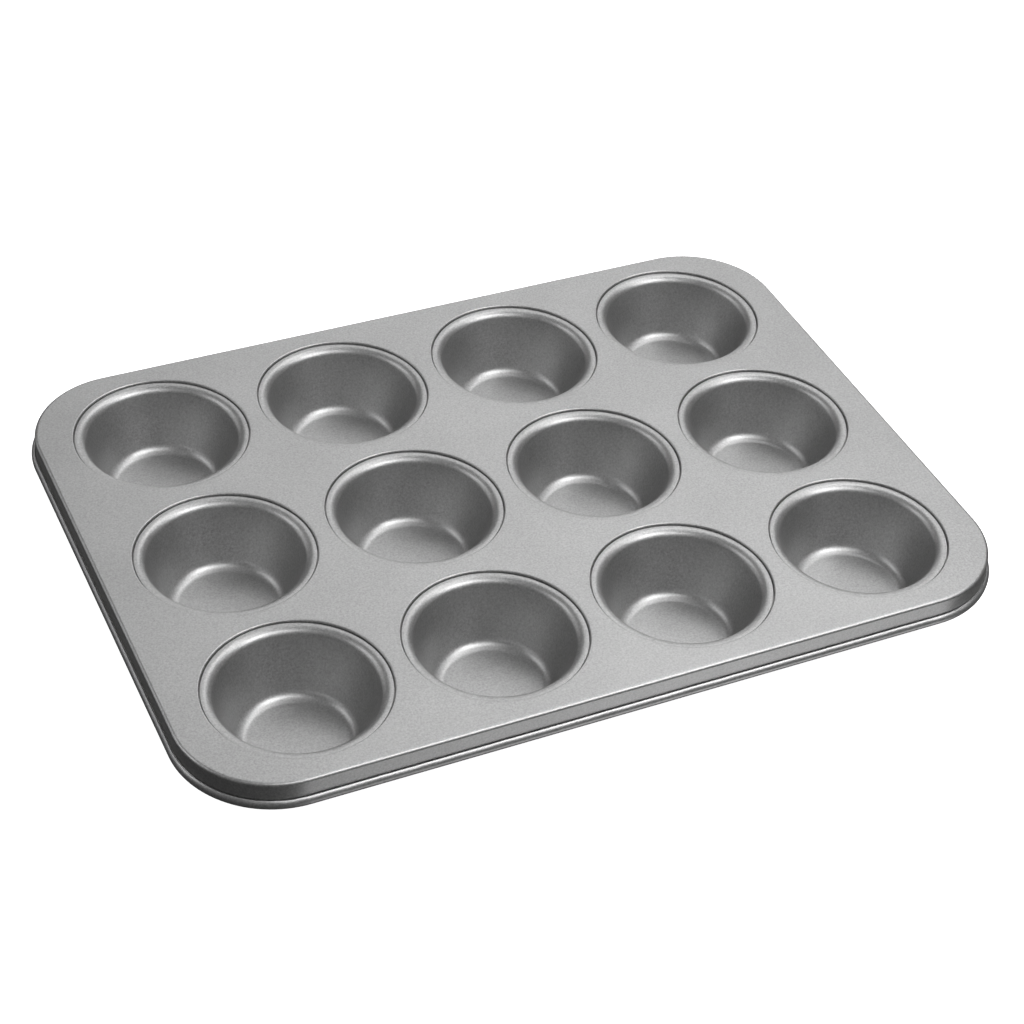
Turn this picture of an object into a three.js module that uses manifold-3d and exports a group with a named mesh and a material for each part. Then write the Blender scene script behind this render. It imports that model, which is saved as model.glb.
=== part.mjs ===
// Twelve-cup muffin tin: a pressed steel plate with a rolled, wired rim, and twelve drawn cups
// whose flanges sit in recessed seats round the plate's openings.
// Millimetres, +Z up. The origin is on the surface that the cups stand on, under the middle of
// the tin; +X runs along the long side.
import * as THREE from "three";
import { mergeVertices } from "three/addons/utils/BufferGeometryUtils.js";
import Module from "manifold-3d";

// Driving dimensions
const COLUMNS = 4;
const ROW_NAMES = ["front", "middle", "back"];
const PITCH = 83;              // cup centre to cup centre, both ways
const HEIGHT = 29;             // underside of the cups to the top of the plate
const SHEET = 0.6;             // steel thickness of the plate and of the cups
const GAP = 0.3;               // clearance between pieces that touch

const PLATE_HALF_X = 176.8;    // half the plate, out to the face of its skirt
const PLATE_HALF_Y = 130.2;
const CORNER_RADIUS = 40;
const CORNER_STEPS = 8;
const EDGE_RADIUS = 1.4;       // bend between the plate and its skirt

const BEAD_RADIUS = 2.5;       // outside of the rolled rim
const BEAD_OUT = -0.6;         // bead centre, outward from the skirt's face
const BEAD_DROP = 10.2;        // bead centre, below the top of the plate
const BEAD_TIP = 62;           // degrees round the bead where the sheet's cut edge stops
const BEAD_STEPS = 15;

const MOUTH_RADIUS = 38;       // where the plate starts to bend down into a seat
const SEAT_RADIUS = 37.4;      // wall of the seat
const SEAT_BEND = 0.7;         // height of the bend at the mouth
const SEAT_INNER = 36;         // inner edge of the ledge that carries the cup
const LEDGE_DROP = 1;          // cup's flange, below the top of the plate

const LIP_RADIUS = 36;         // where the flange bends down into the cup
const LIP_BEND = 4;
const DRAFT = 20;              // degrees that the wall leans out
const FLOOR_RADIUS = 19.6;     // flat part of the floor
const FLOOR_BEND = 5;
const ROUND_STEPS = 20;        // sides of the round parts

const coatedSteel = { color: 0x9a9b9d, roughness: 0.45, metalness: 0.7 };
const plainSteel = { color: 0xb4b5b8, roughness: 0.35, metalness: 1 };

const wasm = await Module();
wasm.setup();

const radians = (degrees) => (degrees * Math.PI) / 180;

function arc(centreX, centreY, radius, from, to, steps) {
  const points = [];
  for (let i = 0; i <= steps; i += 1) {
    const angle = radians(from + ((to - from) * i) / steps);
    points.push([centreX + radius * Math.cos(angle), centreY + radius * Math.sin(angle)]);
  }
  return points;
}

function toSolid(geometry) {
  const bare = geometry.clone();
  bare.deleteAttribute("normal");
  bare.deleteAttribute("uv");
  const merged = mergeVertices(bare, 1e-4);
  const vertProperties = new Float32Array(merged.attributes.position.array);
  const triVerts = new Uint32Array(merged.index.array);
  return new wasm.Manifold(new wasm.Mesh({ numProp: 3, vertProperties, triVerts }));
}

function toGeometry(solid) {
  const mesh = solid.getMesh();
  const geometry = new THREE.BufferGeometry();
  geometry.setAttribute("position", new THREE.BufferAttribute(mesh.vertProperties, 3));
  geometry.setIndex(new THREE.BufferAttribute(mesh.triVerts, 1));
  geometry.computeVertexNormals();
  return geometry;
}

// A closed profile of [radius, height] points turned about +Z.
function turned(profile) {
  const points = profile.map(([radius, height]) => new THREE.Vector2(radius, height));
  return new THREE.LatheGeometry(points, ROUND_STEPS).rotateX(Math.PI / 2);
}

// The plate's outline, a rectangle with round corners, moved outward by offset.
function outline(offset) {
  const x = PLATE_HALF_X - CORNER_RADIUS;
  const y = PLATE_HALF_Y - CORNER_RADIUS;
  const radius = CORNER_RADIUS + offset;
  const centres = [[x, y], [-x, y], [-x, -y], [x, -y]];
  return centres.flatMap(([centreX, centreY], i) => {
    return arc(centreX, centreY, radius, 90 * i, 90 * (i + 1), CORNER_STEPS);
  });
}

// A closed counter-clockwise profile of [outward offset, height] points swept round the outline.
function swept(profile) {
  const loops = profile.map(([offset, height]) => outline(offset).map(([x, y]) => [x, y, height]));
  const around = loops[0].length;
  const indices = [];
  for (let i = 0; i < loops.length; i += 1) {
    const next = (i + 1) % loops.length;
    for (let j = 0; j < around; j += 1) {
      const ahead = (j + 1) % around;
      const a = i * around + j;
      const b = i * around + ahead;
      const c = next * around + ahead;
      const d = next * around + j;
      indices.push(a, b, c, a, c, d);
    }
  }
  const geometry = new THREE.BufferGeometry();
  geometry.setAttribute("position", new THREE.Float32BufferAttribute(loops.flat(2), 3));
  geometry.setIndex(indices);
  return geometry;
}

function cupCentres() {
  return ROW_NAMES.flatMap((row, j) => {
    return Array.from({ length: COLUMNS }, (_, i) => ({
      name: `cup_${row}_${i + 1}`,
      x: (i - (COLUMNS - 1) / 2) * PITCH,
      y: (j - (ROW_NAMES.length - 1) / 2) * PITCH,
    }));
  });
}

// The flat web of the plate, with a round opening at each cup.
function plateWeb() {
  const webInset = -2;
  const openingRadius = MOUTH_RADIUS + 0.4;
  const shape = new THREE.Shape(outline(webInset).map(([x, y]) => new THREE.Vector2(x, y)));
  for (const { x, y } of cupCentres()) {
    const ring = arc(x, y, openingRadius, 0, 360, ROUND_STEPS).slice(0, -1);
    shape.holes.push(new THREE.Path(ring.map(([px, py]) => new THREE.Vector2(px, py))));
  }
  const web = new THREE.ExtrudeGeometry(shape, { depth: SHEET, bevelEnabled: false });
  return web.translate(0, 0, HEIGHT - SHEET);
}

// The plate's edge: the bend, the skirt, and the sheet rolled inward under the skirt, round the
// wire and back up outside, so that its cut edge stops just short of the skirt.
function rolledEdge() {
  const overlap = -3;
  const beadHeight = HEIGHT - BEAD_DROP;
  const boreRadius = BEAD_RADIUS - SHEET;
  const tip = 360 + BEAD_TIP;
  const outsideStart = THREE.MathUtils.radToDeg(Math.acos((-BEAD_OUT - SHEET) / BEAD_RADIUS));
  const boreStart = THREE.MathUtils.radToDeg(Math.acos(-BEAD_OUT / boreRadius));
  const outerBend = arc(-EDGE_RADIUS, HEIGHT - EDGE_RADIUS, EDGE_RADIUS, 90, 0, 3);
  const innerBend = arc(-EDGE_RADIUS, HEIGHT - EDGE_RADIUS, EDGE_RADIUS - SHEET, 0, 90, 2);
  const profile = [
    [overlap, HEIGHT],
    ...outerBend,
    ...arc(BEAD_OUT, beadHeight, boreRadius, boreStart, tip, BEAD_STEPS),
    ...arc(BEAD_OUT, beadHeight, BEAD_RADIUS, tip, outsideStart, BEAD_STEPS),
    ...innerBend,
    [overlap, HEIGHT - SHEET],
  ];
  return swept(profile.reverse());
}

// The recessed seat round one opening: it bends down from the plate to a ledge for the cup.
function seat() {
  const ledgeTop = HEIGHT - LEDGE_DROP - SHEET - GAP;
  const ledgeBottom = ledgeTop - SHEET;
  const webOverlap = MOUTH_RADIUS + 1.1;
  return turned([
    [webOverlap, HEIGHT - SHEET],
    [webOverlap, HEIGHT],
    [MOUTH_RADIUS, HEIGHT],
    [SEAT_RADIUS, HEIGHT - SEAT_BEND],
    [SEAT_RADIUS, ledgeTop],
    [SEAT_INNER, ledgeTop],
    [SEAT_INNER, ledgeBottom],
    [SEAT_RADIUS + SHEET, ledgeBottom],
    [SEAT_RADIUS + SHEET, HEIGHT - SEAT_BEND - SHEET],
    [webOverlap, HEIGHT - SHEET],
  ]);
}

function framePlate() {
  const seatGeometry = seat();
  let plate = toSolid(plateWeb()).add(toSolid(rolledEdge()));
  for (const { x, y } of cupCentres()) {
    plate = plate.add(toSolid(seatGeometry.clone().translate(x, y, 0)));
  }
  return toGeometry(plate);
}

function rimWire() {
  const wireRadius = BEAD_RADIUS - SHEET - GAP;
  const section = arc(BEAD_OUT, HEIGHT - BEAD_DROP, wireRadius, 0, 360, 8).slice(0, -1);
  return toGeometry(toSolid(swept(section)));
}

// One cup: floor, floor bend, leaning wall, lip and flat flange, one sheet thick throughout.
function cup() {
  const flangeRadius = SEAT_RADIUS - GAP;
  const flangeTop = HEIGHT - LEDGE_DROP;
  const lipHeight = flangeTop - LIP_BEND;
  const floorHeight = SHEET + FLOOR_BEND;
  const floorBend = (grow, from, to) => {
    return arc(FLOOR_RADIUS, floorHeight, FLOOR_BEND + grow, from, to, 2);
  };
  const lip = (shrink, from, to, steps) => {
    return arc(LIP_RADIUS, lipHeight, LIP_BEND - shrink, from, to, steps);
  };
  return turned([
    [0, 0],
    ...floorBend(SHEET, -90, -DRAFT),
    ...lip(SHEET, 180 - DRAFT, 90, 3),
    [flangeRadius, flangeTop - SHEET],
    [flangeRadius, flangeTop],
    ...lip(0, 90, 180 - DRAFT, 3),
    ...floorBend(0, -DRAFT, -90),
    [0, SHEET],
  ]);
}

function named(name, geometry, finish) {
  const mesh = new THREE.Mesh(geometry, new THREE.MeshStandardMaterial(finish));
  mesh.name = name;
  return mesh;
}

const muffinTin = new THREE.Group();
muffinTin.add(named("frame_plate", framePlate(), coatedSteel));
muffinTin.add(named("rim_wire", rimWire(), plainSteel));
for (const { name, x, y } of cupCentres()) {
  const mesh = named(name, cup(), coatedSteel);
  mesh.position.set(x, y, 0);
  muffinTin.add(mesh);
}

export default muffinTin;
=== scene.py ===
# The muffin tin's looks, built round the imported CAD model. Metres, +Z up, the tin stands on z = 0.
import math

import bmesh
import bpy
from mathutils import Matrix, Vector, noise
from mathutils.geometry import delaunay_2d_cdt


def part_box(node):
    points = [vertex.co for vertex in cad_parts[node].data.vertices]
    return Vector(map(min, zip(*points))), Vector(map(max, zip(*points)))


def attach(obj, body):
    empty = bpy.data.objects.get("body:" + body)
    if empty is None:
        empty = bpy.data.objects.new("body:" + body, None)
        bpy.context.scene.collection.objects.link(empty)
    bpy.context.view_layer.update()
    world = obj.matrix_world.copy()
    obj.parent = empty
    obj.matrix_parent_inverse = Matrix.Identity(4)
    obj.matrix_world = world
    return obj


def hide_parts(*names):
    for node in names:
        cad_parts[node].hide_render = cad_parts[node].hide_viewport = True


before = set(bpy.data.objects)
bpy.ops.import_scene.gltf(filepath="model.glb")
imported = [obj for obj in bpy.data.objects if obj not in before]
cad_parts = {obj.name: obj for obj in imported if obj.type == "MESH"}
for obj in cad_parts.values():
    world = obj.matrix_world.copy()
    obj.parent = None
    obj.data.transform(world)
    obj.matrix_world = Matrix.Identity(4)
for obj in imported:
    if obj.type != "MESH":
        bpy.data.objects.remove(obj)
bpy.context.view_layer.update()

MM = 0.001

# The tin's sections, in millimetres.
SHEET = 0.6
JOINT_GAP = 0.3            # clearance between pieces that touch
EDGE_RADIUS = 1.4          # bend between the plate and its skirt
BEAD_RADIUS = 2.5          # the rolled rim
BEAD_OUT = -0.6            # its centre, outward from the skirt's face
BEAD_DROP = 10.2           # its centre, below the top of the plate
BEAD_TIP = 62              # degrees round the bead where the sheet's cut edge stops
CORNER_RADIUS = 40.0
MOUTH_RADIUS = 38.0        # where the plate bends down into a seat
SEAT_RADIUS = 37.4
SEAT_INNER = 36.0
LEDGE_DROP = 1.0           # cup flange below the top of the plate
FLANGE_RADIUS = SEAT_RADIUS - JOINT_GAP
LIP_RADIUS = 36.0
LIP_BEND = 4.0
DRAFT = 20.0
FLOOR_RADIUS = 19.6
FLOOR_BEND = 5.0

# Unevenness of the pressed sheet, in millimetres.
CUT_UNEVEN = 0.16          # the sheet's cut edge, up and down
WALL_UNEVEN = 0.07         # a drawn wall, in and out

# The flat web, in millimetres: it ends a little short of the bends.
WEB_INSET = -2.4
WEB_OPENING = MOUTH_RADIUS + 0.5
GRID_SPACING = 5.0
GRID_MARGIN = 6            # between the grid and the skirt's face
GRID_CLEARANCE = 3.5       # between the grid and an opening

# How finely the round parts and the sides are divided.
CORNER_STEPS = 28
SIDE_STEPS_X = 80
SIDE_STEPS_Y = 54
ROUND_STEPS = 120
SHARP_ANGLE = 40           # degrees between faces above which an edge stays sharp

# Where the camera stands: a look at a point on the plate, in degrees and metres.
VIEW_AZIMUTH = -26.865
VIEW_ELEVATION = 40.130
VIEW_ROLL = 4.029
VIEW_DISTANCE = 1.00629
VIEW_TARGET = (-0.00507, -0.01781)
SENSOR = 36.0
FOCAL_IN_WIDTHS = 2.35516

LIGHT_DISTANCE = 3.0
FLOOR_SIZE = 4.0
FLOOR_Z = -0.0002          # just under the cups, so that the two share no plane

plate_low, plate_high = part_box("frame_plate")
HEIGHT = plate_high.z / MM
HALF_X = plate_high.x / MM - BEAD_OUT - BEAD_RADIUS
HALF_Y = plate_high.y / MM - BEAD_OUT - BEAD_RADIUS
CUPS = sorted(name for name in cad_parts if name.startswith("cup_"))


def centre_of(node):
    low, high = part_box(node)
    return (low + high) / 2


def on_circle(centre_x, centre_y, radius, degrees):
    angle = math.radians(degrees)
    return centre_x + radius * math.cos(angle), centre_y + radius * math.sin(angle)


def arc(centre_x, centre_y, radius, start, end, steps):
    return [
        on_circle(centre_x, centre_y, radius, start + (end - start) * i / steps)
        for i in range(steps + 1)
    ]


def line(start, end, steps):
    return [
        tuple(a + (b - a) * i / steps for a, b in zip(start, end))
        for i in range(steps + 1)
    ]


def circle(x, y, radius, z, wobble=None):
    """A ring of points; wobble(angle, z) adds to its radius."""
    points = []
    for i in range(ROUND_STEPS):
        angle = math.tau * i / ROUND_STEPS
        reach = radius + (wobble(angle, z) if wobble else 0)
        points.append((x + reach * math.cos(angle), y + reach * math.sin(angle), z))
    return points


def outline(offset):
    """The plate's outline moved outward by offset, as (x, y) points, equally many at every offset."""
    x = HALF_X - CORNER_RADIUS
    y = HALF_Y - CORNER_RADIUS
    radius = CORNER_RADIUS + offset
    corners = [(x, y), (-x, y), (-x, -y), (x, -y)]
    points = []
    for i, (corner_x, corner_y) in enumerate(corners):
        bend = arc(corner_x, corner_y, radius, 90 * i, 90 * (i + 1), CORNER_STEPS)
        side_end = on_circle(*corners[(i + 1) % 4], radius, 90 * (i + 1))
        steps = SIDE_STEPS_X if i % 2 == 0 else SIDE_STEPS_Y
        points += bend[:-1] + line(bend[-1], side_end, steps)[:-1]
    return points


def new_object(name, bm):
    bmesh.ops.remove_doubles(bm, verts=bm.verts, dist=1e-6)
    bmesh.ops.recalc_face_normals(bm, faces=bm.faces)
    mesh = bpy.data.meshes.new(name)
    bm.to_mesh(mesh)
    bm.free()
    mesh.shade_smooth()
    mesh.set_sharp_from_angle(angle=math.radians(SHARP_ANGLE))
    piece = bpy.data.objects.new(name, mesh)
    bpy.context.scene.collection.objects.link(piece)
    return piece


def skin(bm, rings, wrap_rings=False):
    """Faces between one ring of points and the next; a ring of one point is a pole."""
    verts = [[bm.verts.new(Vector(point) * MM) for point in ring] for ring in rings]
    pairs = list(zip(verts, verts[1:]))
    if wrap_rings:
        pairs.append((verts[-1], verts[0]))
    for ring, following in pairs:
        count = max(len(ring), len(following))
        for i in range(count):
            j = (i + 1) % count
            if len(ring) == 1:
                bm.faces.new((ring[0], following[i], following[j]))
            elif len(following) == 1:
                bm.faces.new((ring[i], following[0], ring[j]))
            else:
                bm.faces.new((ring[i], following[i], following[j], ring[j]))


def has_grid_point(x, y, centres):
    """True away from the web's border, its round corners and its openings."""
    if abs(x) >= HALF_X - GRID_MARGIN or abs(y) >= HALF_Y - GRID_MARGIN:
        return False
    corner_x = abs(x) - (HALF_X - CORNER_RADIUS)
    corner_y = abs(y) - (HALF_Y - CORNER_RADIUS)
    in_corner = corner_x > 0 and corner_y > 0
    if in_corner and math.hypot(corner_x, corner_y) >= CORNER_RADIUS - GRID_MARGIN:
        return False
    return all(math.hypot(x - cx, y - cy) > WEB_OPENING + GRID_CLEARANCE for cx, cy in centres)


def grid_points(centres):
    columns = int(HALF_X / GRID_SPACING)
    rows = int(HALF_Y / GRID_SPACING)
    points = []
    for i in range(-columns, columns + 1):
        for j in range(-rows, rows + 1):
            x, y = i * GRID_SPACING, j * GRID_SPACING
            if has_grid_point(x, y, centres):
                points.append((x, y))
    return points


def closed_loop(first, count):
    """Edges round a ring of count points whose first index is given."""
    return [(first + i, first + (i + 1) % count) for i in range(count)]


def add_web(bm, centres):
    """The flat web's top and underside, with a round opening at each cup."""
    border = outline(WEB_INSET)
    points = border + outline(WEB_INSET - 1.5)
    edges = closed_loop(0, len(border))
    for x, y in centres:
        edges += closed_loop(len(points), ROUND_STEPS)
        for radius in (WEB_OPENING, WEB_OPENING + 0.8, WEB_OPENING + 1.9):
            points += [(px, py) for px, py, _ in circle(x, y, radius, 0)]
    points += grid_points(centres)
    verts, _, faces, *_ = delaunay_2d_cdt([Vector(p) for p in points], edges, [], 1, 1e-5)
    tops = [bm.verts.new(Vector((v.x, v.y, HEIGHT)) * MM) for v in verts]
    bottoms = [bm.verts.new(Vector((v.x, v.y, HEIGHT - SHEET)) * MM) for v in verts]
    inside_opening = WEB_OPENING * 0.999    # an opening's sides cut a little inside its circle
    for face in faces:
        x = sum(verts[i].x for i in face) / len(face)
        y = sum(verts[i].y for i in face) / len(face)
        if all(math.hypot(x - cx, y - cy) > inside_opening for cx, cy in centres):
            bm.faces.new([tops[i] for i in face])
            bm.faces.new([bottoms[i] for i in reversed(face)])
    loose = [v for v in bm.verts if not v.link_faces]
    bmesh.ops.delete(bm, geom=loose, context="VERTS")


def edge_rings():
    """Rings of the bend, skirt and roll, from the top of the web to its underside.

    The sheet rolls inward under the skirt, round the wire and back up outside. Its cut edge is
    a little uneven.
    """
    bead_z = HEIGHT - BEAD_DROP
    bore = BEAD_RADIUS - SHEET
    bore_start = math.degrees(math.acos(-BEAD_OUT / bore))
    outside_start = math.degrees(math.acos((-BEAD_OUT - SHEET) / BEAD_RADIUS))
    tip = 360 + BEAD_TIP
    roll_inside = arc(BEAD_OUT, bead_z, bore, bore_start, tip, 32)
    tip_corner = on_circle(BEAD_OUT, bead_z, BEAD_RADIUS - 0.12, tip + 1)
    roll_outside = arc(BEAD_OUT, bead_z, BEAD_RADIUS, tip - 3, outside_start, 40)
    uneven = [*roll_inside[-3:], tip_corner, *roll_outside[:3]]
    profile = [(WEB_INSET, HEIGHT), (-EDGE_RADIUS - 0.25, HEIGHT)]
    profile += arc(-EDGE_RADIUS, HEIGHT - EDGE_RADIUS, EDGE_RADIUS, 90, 0, 12)
    profile += line((0, HEIGHT - EDGE_RADIUS - 0.25), (0, bead_z + bore), 5)
    profile += [*roll_inside, tip_corner, *roll_outside]
    profile += [(-SHEET, HEIGHT - EDGE_RADIUS - 0.3)]
    profile += arc(-EDGE_RADIUS, HEIGHT - EDGE_RADIUS, EDGE_RADIUS - SHEET, 0, 90, 6)
    profile += [(WEB_INSET, HEIGHT - SHEET)]
    rings = []
    for offset, z in profile:
        ring = []
        for x, y in outline(offset):
            lift = CUT_UNEVEN * noise.noise(Vector((x, y, 0)) * 0.16) if (offset, z) in uneven else 0
            ring.append((x, y, z + lift))
        rings.append(ring)
    return rings


def seat_profile():
    """From the top of the web at one opening, down to the ledge and back to the web's underside."""
    ledge = HEIGHT - LEDGE_DROP - SHEET - JOINT_GAP
    bend = MOUTH_RADIUS - SEAT_RADIUS
    profile = [(WEB_OPENING, HEIGHT), (MOUTH_RADIUS + 0.15, HEIGHT)]
    profile += arc(MOUTH_RADIUS, HEIGHT - bend, bend, 90, 180, 6)
    profile += [(SEAT_RADIUS, ledge + 0.1), (SEAT_RADIUS - 0.1, ledge), (SEAT_INNER, ledge)]
    profile += [(SEAT_INNER, ledge - SHEET), (SEAT_RADIUS + SHEET - 0.3, ledge - SHEET)]
    profile += [(SEAT_RADIUS + SHEET, ledge - SHEET + 0.3)]
    profile += arc(MOUTH_RADIUS, HEIGHT - bend, bend - SHEET, 180, 90, 3)
    profile += [(WEB_OPENING, HEIGHT - SHEET)]
    return profile


def frame_piece():
    """The pressed plate: flat web, seats, skirt and rolled rim, one sheet thick."""
    centres = [(centre_of(name).x / MM, centre_of(name).y / MM) for name in CUPS]
    bm = bmesh.new()
    add_web(bm, centres)
    skin(bm, edge_rings())
    for x, y in centres:
        skin(bm, [circle(x, y, radius, z) for radius, z in seat_profile()])
    return new_object("plate_and_rolled_rim", bm)


def wire_piece():
    radius = BEAD_RADIUS - SHEET - JOINT_GAP
    section = arc(BEAD_OUT, HEIGHT - BEAD_DROP, radius, 0, 360, 20)[:-1]
    bm = bmesh.new()
    skin(bm, [[(x, y, z) for x, y in outline(offset)] for offset, z in section], wrap_rings=True)
    return new_object("steel_rim_wire", bm)


def cup_profile():
    """(radius, height) points: inside, from the floor's middle to the flange, then back underneath."""
    flange_top = HEIGHT - LEDGE_DROP
    lip_z = flange_top - LIP_BEND
    floor_z = SHEET + FLOOR_BEND
    edge = 0.15
    inside = [(0, SHEET)] + [(FLOOR_RADIUS * k / 4, SHEET) for k in (1, 2, 3)]
    inside += [(FLOOR_RADIUS - 0.8, SHEET)]
    inside += arc(FLOOR_RADIUS, floor_z, FLOOR_BEND, -90, -DRAFT, 10)
    lip = arc(LIP_RADIUS, lip_z, LIP_BEND, 180 - DRAFT, 90, 10)
    inside += line(inside[-1], lip[0], 10)[1:-1] + lip
    inside += [(LIP_RADIUS + 0.4, flange_top), (FLANGE_RADIUS - 2 * edge, flange_top)]
    inside += arc(FLANGE_RADIUS - edge, flange_top - edge, edge, 90, 0, 3)
    outside = [(0, 0), (FLOOR_RADIUS - 0.8, 0)]
    outside += arc(FLOOR_RADIUS, floor_z, FLOOR_BEND + SHEET, -90, -DRAFT, 8)
    outer_lip = arc(LIP_RADIUS, lip_z, LIP_BEND - SHEET, 180 - DRAFT, 90, 6)
    outside += line(outside[-1], outer_lip[0], 6)[1:-1] + outer_lip
    outside += [(FLANGE_RADIUS, flange_top - SHEET)]
    return inside + outside[::-1]


def cup_piece(node):
    """One drawn cup, with the faint unevenness of a deep-drawn wall."""
    centre = centre_of(node) / MM
    seed = CUPS.index(node) * 7.3
    low = SHEET + FLOOR_BEND
    high = HEIGHT - LEDGE_DROP - LIP_BEND

    def wobble(angle, z):
        share = (z - low) / (high - low)
        if not 0 < share < 1:
            return 0
        fade = math.sin(math.pi * share)
        place = Vector((1.3 * math.cos(angle), 1.3 * math.sin(angle), seed + 0.02 * z))
        return WALL_UNEVEN * fade * noise.noise(place)

    rings = []
    for radius, z in cup_profile():
        if radius == 0:
            rings.append([(centre.x, centre.y, z)])
        else:
            rings.append(circle(centre.x, centre.y, radius, z, wobble))
    bm = bmesh.new()
    skin(bm, rings)
    return new_object(node.replace("cup_", "drawn_cup_"), bm)


class Nodes:
    """Short calls for one material's node tree."""

    def __init__(self, tree):
        self.tree = tree

    def add(self, kind, **values):
        """A new node; a capitalised name is an input's value, any other is the node's own setting."""
        node = self.tree.nodes.new(kind)
        for key, value in values.items():
            if key[0].isupper():
                node.inputs[key].default_value = value
            else:
                setattr(node, key, value)
        return node

    def link(self, source, target):
        self.tree.links.new(source, target)

    def coordinates(self):
        return self.add("ShaderNodeTexCoord").outputs["Object"]

    def noise(self, coordinates, scale, detail, roughness=0.5):
        node = self.add("ShaderNodeTexNoise", Scale=scale, Detail=detail, Roughness=roughness)
        self.link(coordinates, node.inputs["Vector"])
        return node.outputs["Fac"]

    def spread(self, source, low, high, to_low, to_high):
        """The source with low to high stretched to the range to_low to to_high, and clamped there."""
        node = self.add("ShaderNodeMapRange")
        for key, value in zip(("From Min", "From Max", "To Min", "To Max"), (low, high, to_low, to_high)):
            node.inputs[key].default_value = value
        self.link(source, node.inputs["Value"])
        return node.outputs["Result"]

    def maths(self, operation, a, b):
        node = self.add("ShaderNodeMath", operation=operation)
        self.link(a, node.inputs[0])
        self.link(b, node.inputs[1])
        return node.outputs["Value"]

    def grey(self, tone):
        node = self.add("ShaderNodeCombineColor")
        for channel in node.inputs[:3]:
            self.link(tone, channel)
        return node.outputs["Color"]


def new_material(name):
    material = bpy.data.materials.new(name)
    material.use_nodes = True
    return material, Nodes(material.node_tree), material.node_tree.nodes["Principled BSDF"]


def coating_material():
    """Silver-grey non-stick coating: fine metallic speckle over soft, slightly uneven satin."""
    material, nodes, shader = new_material("silver_grey_coating")
    coordinates = nodes.coordinates()
    grain = nodes.noise(coordinates, 1200, 3.0, 0.65)
    flakes = nodes.noise(coordinates, 5200, 1.0)
    clouds = nodes.noise(coordinates, 28, 3.0)
    tone = nodes.spread(grain, 0.3, 0.7, 0.31, 0.47)
    tone = nodes.maths("ADD", tone, nodes.spread(flakes, 0.62, 0.8, 0.0, 0.10))
    tone = nodes.maths("MULTIPLY", tone, nodes.spread(clouds, 0.3, 0.7, 0.96, 1.04))
    nodes.link(nodes.grey(tone), shader.inputs["Base Color"])
    nodes.link(nodes.spread(grain, 0.3, 0.7, 0.38, 0.46), shader.inputs["Roughness"])
    bump = nodes.add("ShaderNodeBump", Strength=0.12, Distance=0.00006)
    nodes.link(grain, bump.inputs["Height"])
    nodes.link(bump.outputs["Normal"], shader.inputs["Normal"])
    shader.inputs["Metallic"].default_value = 0.9
    return material


def wire_material():
    """Plain drawn steel, faintly mottled."""
    material, nodes, shader = new_material("drawn_steel_wire")
    mottle = nodes.noise(nodes.coordinates(), 900, 4.0)
    nodes.link(nodes.grey(nodes.spread(mottle, 0.3, 0.7, 0.42, 0.56)), shader.inputs["Base Color"])
    nodes.link(nodes.spread(mottle, 0.3, 0.7, 0.28, 0.4), shader.inputs["Roughness"])
    shader.inputs["Metallic"].default_value = 1.0
    return material


def floor_material():
    """Pale card, as white to the camera as the background."""
    material, _, shader = new_material("pale_floor")
    shader.inputs["Base Color"].default_value = (0.8, 0.8, 0.8, 1)
    shader.inputs["Roughness"].default_value = 0.9
    shader.inputs["Emission Color"].default_value = (1, 1, 1, 1)
    shader.inputs["Emission Strength"].default_value = 1.0
    return material


def dress(piece, material, node):
    piece.data.materials.append(material)
    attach(piece, "root")
    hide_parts(node)


def add_tin():
    coating = coating_material()
    dress(frame_piece(), coating, "frame_plate")
    dress(wire_piece(), wire_material(), "rim_wire")
    for node in CUPS:
        dress(cup_piece(node), coating, node)


def add_floor():
    """A floor that only the camera sees: it neither lights nor darkens the tin."""
    bm = bmesh.new()
    bmesh.ops.create_grid(bm, x_segments=8, y_segments=8, size=FLOOR_SIZE)
    floor = new_object("floor", bm)
    floor.location.z = FLOOR_Z
    floor.data.materials.append(floor_material())
    floor.visible_glossy = False
    floor.visible_diffuse = False
    floor.visible_shadow = False


def add_camera():
    azimuth, elevation, roll = map(math.radians, (VIEW_AZIMUTH, VIEW_ELEVATION, VIEW_ROLL))
    back = Vector((
        math.sin(azimuth) * math.cos(elevation),
        -math.cos(azimuth) * math.cos(elevation),
        math.sin(elevation),
    ))
    level = Vector((math.cos(azimuth), math.sin(azimuth), 0))
    upright = back.cross(level)
    right = level * math.cos(roll) + upright * math.sin(roll)
    up = back.cross(right)
    target = Vector((*VIEW_TARGET, plate_high.z))
    data = bpy.data.cameras.new("camera")
    data.sensor_width = SENSOR
    data.lens = FOCAL_IN_WIDTHS * SENSOR
    data.clip_start = 0.02
    camera = bpy.data.objects.new("camera", data)
    place = Matrix((right, up, back)).transposed().to_4x4()
    place.translation = target + back * VIEW_DISTANCE
    camera.matrix_world = place
    bpy.context.scene.collection.objects.link(camera)
    bpy.context.scene.camera = camera


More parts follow.
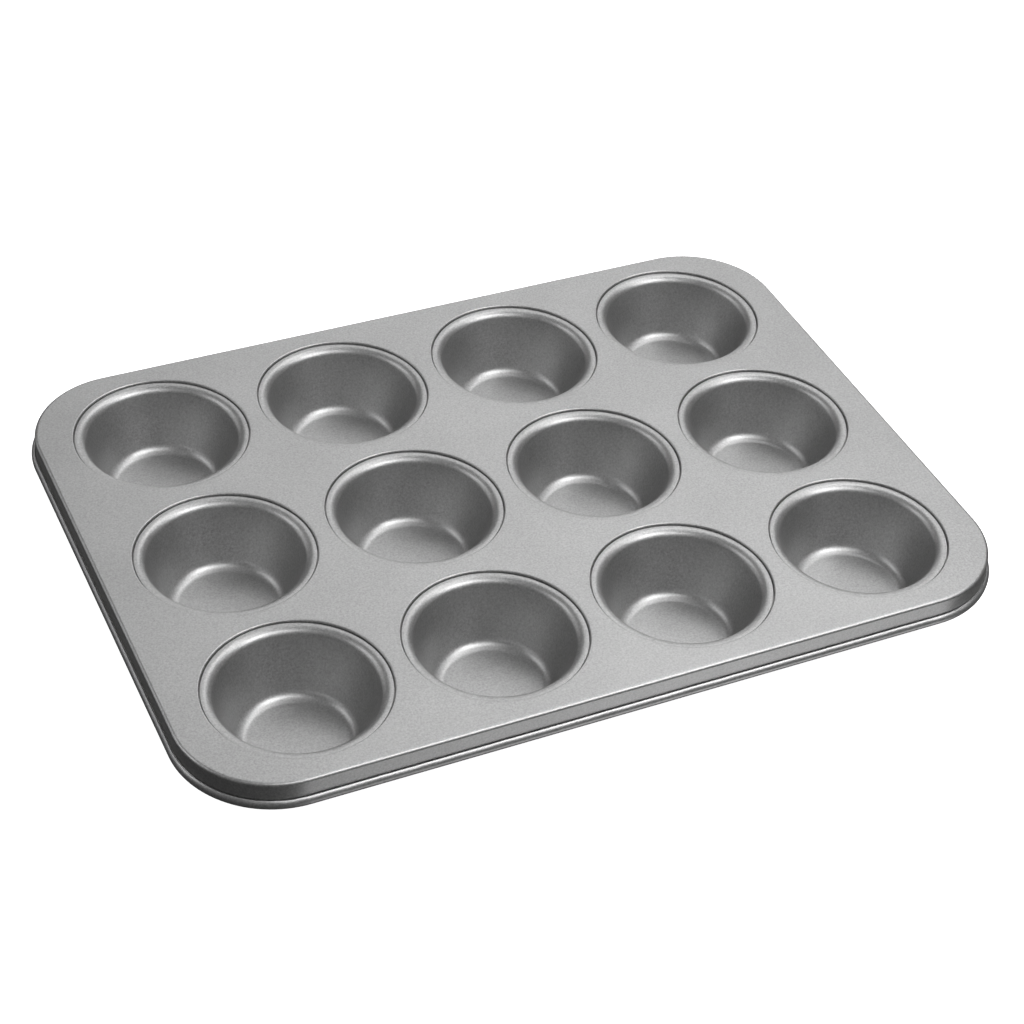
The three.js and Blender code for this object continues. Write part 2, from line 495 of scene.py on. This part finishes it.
def add_light(name, azimuth, elevation, width, height, radiance):
    """A soft rectangle of light that faces the tin; azimuth 0 is +X and 90 is +Y."""
    azimuth, elevation = math.radians(azimuth), math.radians(elevation)
    direction = Vector((
        math.cos(azimuth) * math.cos(elevation),
        math.sin(azimuth) * math.cos(elevation),
        math.sin(elevation),
    ))
    data = bpy.data.lights.new(name, "AREA")
    data.shape = "RECTANGLE"
    data.size = width
    data.size_y = height
    data.energy = radiance * width * height * math.pi
    light = bpy.data.objects.new(name, data)
    light.location = direction * LIGHT_DISTANCE
    light.rotation_euler = direction.to_track_quat("Z", "Y").to_euler()
    light.visible_camera = False
    bpy.context.scene.collection.objects.link(light)


def add_lights():
    """Each light's azimuth and elevation in degrees, width and height in metres, and radiance."""
    add_light("overhead_softbox", 32, 60, 1.1, 1.3, 4.0)
    add_light("front_key", 304, 50, 1.1, 1.4, 8.0)
    add_light("front_left_softbox", 262, 56, 1.0, 1.1, 2.8)
    add_light("right_softbox", 345, 56, 1.1, 1.3, 2.8)
    add_light("back_left_panel", 152, 38, 1.7, 1.0, 2.4)
    add_light("back_right_panel", 65, 42, 1.7, 1.3, 1.5)
    add_light("back_low_card", 60, 6, 2.2, 0.8, 2.1)
    add_light("back_left_low_card", 135, 10, 1.6, 0.8, 0.9)
    add_light("table_bounce", 300, -38, 1.3, 1.3, 2.0)


def add_world():
    """A grey room for light and reflections, darker below the horizon; plain white behind the tin."""
    world = bpy.data.worlds.new("room")
    world.use_nodes = True
    bpy.context.scene.world = world
    nodes = Nodes(world.node_tree)
    background = world.node_tree.nodes["Background"]
    direction = nodes.add("ShaderNodeSeparateXYZ")
    nodes.link(nodes.add("ShaderNodeTexCoord").outputs["Generated"], direction.inputs[0])
    room = nodes.spread(direction.outputs["Z"], -0.15, 0.35, 0.06, 0.17)
    seen = nodes.add("ShaderNodeLightPath").outputs["Is Camera Ray"]
    nodes.link(nodes.maths("MAXIMUM", room, seen), background.inputs["Color"])
    background.inputs["Strength"].default_value = 1.0


add_tin()
add_floor()
add_camera()
add_lights()
add_world()
bpy.context.scene.view_settings.view_transform = "Standard"
